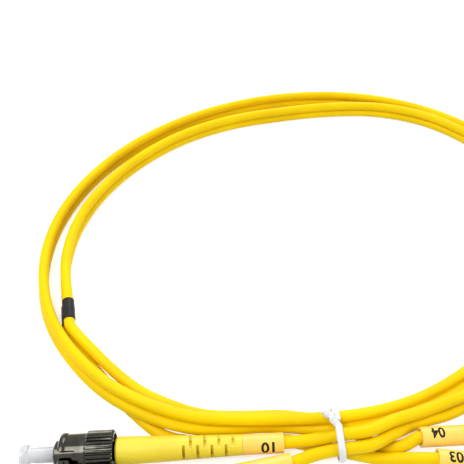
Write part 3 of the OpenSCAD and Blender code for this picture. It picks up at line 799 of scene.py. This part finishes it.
def spun_mesh(name, outline, sides):
    """Closed mesh of a closed outline spun round the X axis."""
    shape = bmesh.new()
    rings = [[shape.verts.new(round_x(x, r, 2 * math.pi * k / sides)) for k in range(sides)]
             for x, r in outline]
    join_rings(shape, rings + rings[:1])
    bmesh.ops.remove_doubles(shape, verts=shape.verts, dist=MERGE_WITHIN)
    return shape_mesh(name, shape, turn_out=True)


spun_nut = spun_mesh("nut_body", nut_profile(), NUT_SIDES)
print("turned nut faces:", len(spun_nut.polygons))


# %% Cut the slots
SLOT_R, SLOT_ENTRY, SLOT_RAMP = 1.05, 3.5, 1.2
SLOT_START, SLOT_SWEEP, SLOT_CUTS = 29.0, 60.0, 9
PIN_SIDES, PIN_LENGTH, PIN_MIDDLE_R, ENTRY_PAST = 28, 2.4, 4.5, 0.5


def slot_place(degrees, x):
    """Matrix of a cutting pin at a turn round the nut and a distance behind its front."""
    return (Matrix.Rotation(-math.radians(degrees), 4, "X")
            @ Matrix.Translation((NUT_FRONT - x, 0.0, PIN_MIDDLE_R)))


def slot_cutter():
    """Mesh of both slots: round pins along a ramp with soft ends, and a box for the entry."""
    shape = bmesh.new()
    for side in (SLOT_START, SLOT_START + 180.0):
        for i in range(SLOT_CUTS):
            share = i / (SLOT_CUTS - 1)
            rise = SLOT_RAMP * (3 - 2 * share) * share ** 2
            bmesh.ops.create_cone(
                shape, cap_ends=True, segments=PIN_SIDES, radius1=SLOT_R, radius2=SLOT_R,
                depth=PIN_LENGTH, matrix=slot_place(side + SLOT_SWEEP * share, SLOT_ENTRY + rise))
        entry = Matrix.Diagonal((SLOT_ENTRY + ENTRY_PAST, 2 * SLOT_R, PIN_LENGTH, 1.0))
        place = slot_place(side, (SLOT_ENTRY - ENTRY_PAST) / 2)
        bmesh.ops.create_cube(shape, size=1.0, matrix=place @ entry)
    return shape_mesh("slot_cutter", shape)


def cut_mesh(mesh, cutter):
    """Takes a cutter's shape out of a mesh and returns the new mesh."""
    body, tool = new_object("nut_body", mesh), new_object("nut_tool", cutter)
    cut = body.modifiers.new("slots", "BOOLEAN")
    cut.operation, cut.solver, cut.use_self, cut.object = "DIFFERENCE", "EXACT", True, tool
    result = plain_mesh(body)
    bpy.data.objects.remove(body)
    bpy.data.objects.remove(tool)
    return result


nut_body = cut_mesh(spun_nut, slot_cutter())
print("nut body faces:", len(nut_body.polygons))


# %% One tooth of the knurl
TOOTH_REAR, TOOTH_SUNK, TOOTH_CROWN = 0.05, 0.08, 0.01
TOOTH_FOOT, TOOTH_CREST = 0.44, 0.2
# The tooth's ends. At the rear: where the slope breaks, where it reaches the crest, and how far
# under the crest it breaks. At the front: the slope's length and the step left at its end.
REAR_SLOPE, REAR_LEVEL, REAR_DROP = 0.3, 0.5, 0.04
FRONT_SLOPE, FRONT_STEP = 0.35, 0.05


def tooth_mesh():
    """One knurl tooth on top of the root, along X, with sloping ends."""
    pitch = 2 * math.pi / KNURL_TEETH
    rear, front = NUT_REAR + TOOTH_REAR, NUT_REAR + KNURL_LENGTH
    foot = NUT_ROOT_R - TOOTH_SUNK
    shape = bmesh.new()
    rings = []
    for x, top in ((rear, NUT_ROOT_R), (rear + REAR_SLOPE, NUT_KNURL_R - REAR_DROP),
                   (rear + REAR_LEVEL, NUT_KNURL_R), (front - FRONT_SLOPE, NUT_KNURL_R),
                   (front, NUT_ROOT_R + FRONT_STEP)):
        corners = ((-TOOTH_FOOT, foot), (-TOOTH_CREST, top), (0.0, top + TOOTH_CROWN),
                   (TOOTH_CREST, top), (TOOTH_FOOT, foot))
        rings.append([shape.verts.new(round_x(x, r, turn * pitch)) for turn, r in corners])
    join_rings(shape, rings)
    shape.faces.new(rings[0])
    shape.faces.new(rings[-1])
    return shape_mesh("knurl_tooth", shape, turn_out=True)


# %% The tree that repeats the tooth
def knurl_tree():
    """Tree that repeats a tooth evenly round the X axis."""
    tree, source, result = geometry_tree("knurl_tree", (
        ("Teeth", "NodeSocketInt", 32), ("Plate", "NodeSocketMaterial", None)))
    spots = node(tree, "GeometryNodeMeshLine", [("Count", source.outputs["Teeth"]),
                 ("Offset", (0.0, 0.0, 0.0))])
    index = node(tree, "GeometryNodeInputIndex")
    share = maths(tree, "DIVIDE", index.outputs["Index"], source.outputs["Teeth"])
    way = node(tree, "ShaderNodeCombineXYZ", [("X", maths(tree, "MULTIPLY", share, 2 * math.pi))])
    ring = node(tree, "GeometryNodeInstanceOnPoints", [("Points", spots.outputs["Mesh"]),
                ("Instance", source.outputs["Geometry"]), ("Rotation", way.outputs["Vector"])])
    return end_tree(tree, result, ring.outputs["Instances"], source.outputs["Plate"])


knurl = run_tree("knurl", tooth_mesh(), knurl_tree(), {"Teeth": KNURL_TEETH, "Plate": NICKEL})

# %% Join the nut and lay a copy on each plug
NUT_SHARP = 28


def lay_on_plug(mesh, name, plug):
    """Copy of a mesh made on the X axis in millimetres, laid on a plug's axis in metres."""
    laid = mesh.copy()
    laid.transform(Matrix.Scale(MM, 4) @ Matrix.Translation(PLUGS[plug][0])
                   @ Matrix.Rotation(math.radians(PLUGS[plug][1]), 4, "Z"))
    return new_object(name + "_" + plug, laid)


whole = bmesh.new()
whole.from_mesh(nut_body)
whole.from_mesh(knurl.data)
bpy.data.objects.remove(knurl)
nut_mesh = shape_mesh("knurled_nut", whole)
for face in nut_mesh.polygons:
    face.material_index = 0
smooth(nut_mesh, NUT_SHARP)
nut_mesh.materials.append(NICKEL)
for plug in PLUGS:
    nut = lay_on_plug(nut_mesh, "knurled_nut", plug)
    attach(nut, "nut_" + plug)
    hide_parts("coupling_nut_" + plug)
print("nut faces:", len(nut_mesh.polygons))

# %% [markdown]
# ## The dust caps
# A dust cap is a soft clear sleeve with one closed end, pushed over the ferrule to keep its
# polished tip clean. Its wall is thin, so light bends through it and its sides look grey. A grey
# paint would stay the same over any ground; a wall with an inner and an outer side bends what is
# behind it. The solid model keeps the cap plain, and here its outline has the rounded rim of a
# moulded cap. It is spun round the axis as the nut's body is.

# %% Dust caps
CAP_REAR, CAP_FLOOR, CAP_TIP = 44.3, 50.4, 52.4
CAP_R, CAP_BORE_R, CAP_RIM_R, CAP_RIM = 1.85, 1.33, 2.55, 2.0
CAP_SIDES, CAP_SHARP = 64, 50
rim_x = CAP_TIP - CAP_RIM
# Where the tube swells into the rim, then the rim's round edge at the tip
CAP_SWELL = [(rim_x - 0.2, CAP_R - 0.05), (rim_x, CAP_R + 0.08),
             (rim_x + 0.12, CAP_RIM_R - 0.22), (rim_x + 0.32, CAP_RIM_R)]
CAP_EDGE = [(CAP_TIP - 0.45, CAP_RIM_R), (CAP_TIP - 0.15, CAP_RIM_R - 0.1),
            (CAP_TIP - 0.02, CAP_RIM_R - 0.4), (CAP_TIP, CAP_RIM_R - 0.8)]
cap_outline = [(CAP_FLOOR, 0.0), (CAP_FLOOR, CAP_BORE_R), (CAP_REAR, CAP_BORE_R),
               (CAP_REAR, CAP_R - SMALL_BEVEL), (CAP_REAR + SMALL_BEVEL, CAP_R),
               *CAP_SWELL, *CAP_EDGE, (CAP_TIP, 0.0)]
cap_mesh = spun_mesh("soft_cap", cap_outline, CAP_SIDES)
smooth(cap_mesh, CAP_SHARP)
cap_mesh.materials.append(CAP_CLEAR)
for plug in PLUGS:
    cap = lay_on_plug(cap_mesh, "soft_cap", plug)
    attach(cap, "cap_" + plug)
    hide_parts("dust_cap_" + plug)
print("cap faces:", len(cap_mesh.polygons))

# %% [markdown]
# ## The springs in the nuts
# A small coil spring of round wire lies between the washer in each nut and the collar of the
# barrel, and pushes the nut back towards the boot. The solid model has it as a coarse screw
# line; here the same turns are swept fine.

# %% Springs
SPRING_X, SPRING_LENGTH, SPRING_D, SPRING_WIRE = 31.9, 5.2, 5.7, 0.5
SPRING_TURNS, SPRING_STEPS = 4, 24
spring_count = SPRING_TURNS * SPRING_STEPS
spring_reach = SPRING_LENGTH - SPRING_WIRE

for plug in PLUGS:
    coils = [plug_point(plug, SPRING_X + SPRING_WIRE / 2 + spring_reach * i / spring_count,
                        -math.pi / 2 + 2 * math.pi * i / SPRING_STEPS, SPRING_D / 2)
             for i in range(spring_count + 1)]
    spring = run_tree("coil_spring_" + plug, line_mesh("coil_spring_" + plug, in_metres(coils)),
                      CORD_TREE, {"Radius": SPRING_WIRE / 2 * MM, "Jacket": SPRING_STEEL})
    smooth(spring.data)
    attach(spring, "cord")
    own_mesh(spring)
    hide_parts("nut_spring_" + plug)

# %% [markdown]
# ## Moulding marks on the boots
# A moulded boot has a small round mark where the pin pushed it out of its mould. It is a thin
# raised ring, swept along a circle that is laid on the round boot. A bump in the material could
# stand for it, but only a real ring is part of the mesh itself.

# %% Moulding marks
BOOT_D, BOOT_LENGTH, BOOT_REAR_D = 6.6, 30.0, 4.8
MARK_X, MARK_TURN, MARK_R, MARK_WIRE_R, MARK_STEPS = 25.7, math.radians(64), 0.7, 0.1, 24
boot_r = (BOOT_REAR_D + (BOOT_D - BOOT_REAR_D) * MARK_X / BOOT_LENGTH) / 2
mark_turns = [2 * math.pi * i / MARK_STEPS for i in range(MARK_STEPS + 1)]

for plug in PLUGS:
    circle = [plug_point(plug, MARK_X + MARK_R * math.cos(turn),
                         MARK_TURN + MARK_R * math.sin(turn) / boot_r, boot_r)
              for turn in mark_turns]
    mark = run_tree("mould_mark_" + plug, line_mesh("mould_mark_" + plug, in_metres(circle)),
                    CORD_TREE, {"Radius": MARK_WIRE_R * MM, "Jacket": BOOT_YELLOW})
    smooth(mark.data)
    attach(mark, "cord")

# %% [markdown]
# ## Numbers on the labels
# Each single cord has a printed label behind its boot, so that both ends of one fibre can be
# told. The print here is a plain number, 01 to 04. The text becomes a mesh while it is flat, is
# cut into narrow strips, and each corner is then laid on the round label. Without the strips its
# flat faces would cut through the label.

# %% Print a number on a label
LABEL_D, PRINT_X = 4.8, -6.0
PRINT_WIDTH, PRINT_HEIGHT, PRINT_THICK = 3.2, 2.7, 0.03
TEXT_DEPTH, TEXT_SWELL = 0.01, 0.03
PRINT_TURN = {"a1": math.radians(49), "a2": math.radians(49), "b1": 0.0, "b2": 0.0}
NUMBERS = {"a1": "01", "a2": "02", "b1": "03", "b2": "04"}
STRIPS = 16


def flat_number(digits):
    """Flat mesh of a number, centred, at its printed size in millimetres, cut in strips."""
    curve = bpy.data.curves.new("number", "FONT")
    curve.body, curve.extrude, curve.offset = digits, TEXT_DEPTH, TEXT_SWELL
    carrier = new_object("number", curve)
    mesh = plain_mesh(carrier)
    bpy.data.objects.remove(carrier)
    low = [min(v.co[k] for v in mesh.vertices) for k in range(3)]
    high = [max(v.co[k] for v in mesh.vertices) for k in range(3)]
    size = (PRINT_WIDTH, PRINT_HEIGHT, PRINT_THICK)
    for v in mesh.vertices:
        v.co = Vector([(v.co[k] - (low[k] + high[k]) / 2) * size[k] / (high[k] - low[k])
                       for k in range(3)])
    shape = bmesh.new()
    shape.from_mesh(mesh)
    bmesh.ops.remove_doubles(shape, verts=shape.verts, dist=MERGE_WITHIN)
    for i in range(1, STRIPS):
        height = PRINT_HEIGHT * (i / STRIPS - 0.5)
        bmesh.ops.bisect_plane(shape, geom=shape.verts[:] + shape.edges[:] + shape.faces[:],
                               plane_co=(0, height, 0), plane_no=(0, 1, 0))
    bmesh.ops.triangulate(shape, faces=shape.faces)
    return shape_mesh("number", shape)


for plug in PLUGS:
    mesh = flat_number(NUMBERS[plug])
    for v in mesh.vertices:
        turn = PRINT_TURN[plug] - v.co.y / (LABEL_D / 2)
        v.co = plug_point(plug, PRINT_X - v.co.x, turn, LABEL_D / 2 + v.co.z) * MM
    mesh.materials.append(MARK_BLACK)
    number = new_object("number_" + plug, mesh)
    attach(number, "cord")
    print(number.name, "faces:", len(mesh.polygons))

# %% [markdown]
# ## The cords in use
# The cords are the part that bends in use.

# %% [markdown]
# ## Floor and light
# Goods of this kind are shown on white. The floor gives off some light of its own, seen by the
# camera, in reflections and through clear plastic but not cast on the object, so it is near
# white and still keeps a faint shadow. Three soft lamps stand over the object: one at the left,
# one behind it and one at the right.

# %% Floor
FLOOR_GREY = (0.8, 0.8, 0.8, 1.0)
FLOOR_GLOW = 0.62
FLOOR_HALF = 1.5


def seen_rays(tree):
    """Value that is one for the rays that show the background: camera, glossy and transmitted."""
    rays = node(tree, "ShaderNodeLightPath").outputs
    seen = maths(tree, "ADD", rays["Is Camera Ray"], rays["Is Glossy Ray"])
    return maths(tree, "ADD", seen, rays["Is Transmission Ray"], use_clamp=True)


def floor_material():
    """Near-white floor: part of its light is its own, the rest shows the shadow."""
    material = bpy.data.materials.new("pale_floor")
    material.use_nodes = True
    tree = material.node_tree
    tree.nodes.clear()
    matt = node(tree, "ShaderNodeBsdfDiffuse", [("Color", FLOOR_GREY)])
    glow = node(tree, "ShaderNodeEmission",
                [("Strength", maths(tree, "MULTIPLY", seen_rays(tree), FLOOR_GLOW))])
    both = node(tree, "ShaderNodeAddShader", [(0, matt.outputs[0]), (1, glow.outputs[0])])
    result = node(tree, "ShaderNodeOutputMaterial")
    tree.links.new(both.outputs[0], result.inputs["Surface"])
    return material


floor_mesh = bpy.data.meshes.new("floor")
floor_mesh.from_pydata([(x * FLOOR_HALF, y * FLOOR_HALF, 0.0)
                        for x, y in ((-1, -1), (1, -1), (1, 1), (-1, 1))], [], [(0, 1, 2, 3)])
floor_mesh.materials.append(floor_material())
floor = new_object("floor", floor_mesh)
print("floor side in metres:", 2 * FLOOR_HALF)

# %% Lamps
LAMP_TARGET = Vector((0.0, 0.05, 0.0))
# Name, place and side in metres, and power in watts
LAMPS = (("key", Vector((-0.35, -0.05, 0.75)), 0.5, 4.5),
         ("back", Vector((0.15, 0.75, 0.55)), 0.5, 4.0),
         ("side", Vector((0.65, -0.25, 0.4)), 0.35, 1.8))

for name, place, size, power in LAMPS:
    lamp = bpy.data.lights.new(name, "AREA")
    lamp.shape, lamp.size, lamp.energy = "SQUARE", size, power
    stand = new_object(name, lamp)
    stand.location = place
    stand.rotation_euler = (LAMP_TARGET - place).to_track_quat("-Z", "Y").to_euler()
print("lamps:", len(LAMPS))

# %% World
WORLD_LIGHT, WORLD_TINT = 0.45, (0.9, 0.93, 1.0, 1.0)
WORLD_SEEN, WHITE = 1.0, (1.0, 1.0, 1.0, 1.0)


def light_world(name):
    """World that is white where it is seen and gives a weaker, cooler light on the object."""
    world = bpy.data.worlds.new(name)
    world.use_nodes = True
    tree = world.node_tree
    seen = seen_rays(tree)
    strength = node(tree, "ShaderNodeMapRange", [("Value", seen), ("To Min", WORLD_LIGHT),
                    ("To Max", WORLD_SEEN)])
    tint = node(tree, "ShaderNodeMix", [("Factor", seen)], data_type="RGBA")
    tint.inputs[6].default_value = WORLD_TINT
    tint.inputs[7].default_value = WHITE
    sky = tree.nodes["Background"].inputs
    tree.links.new(tint.outputs[2], sky["Color"])
    tree.links.new(strength.outputs["Result"], sky["Strength"])
    return world


scene.world = light_world("studio")
scene.view_settings.view_transform = "Standard"
print("light from the world:", WORLD_LIGHT)
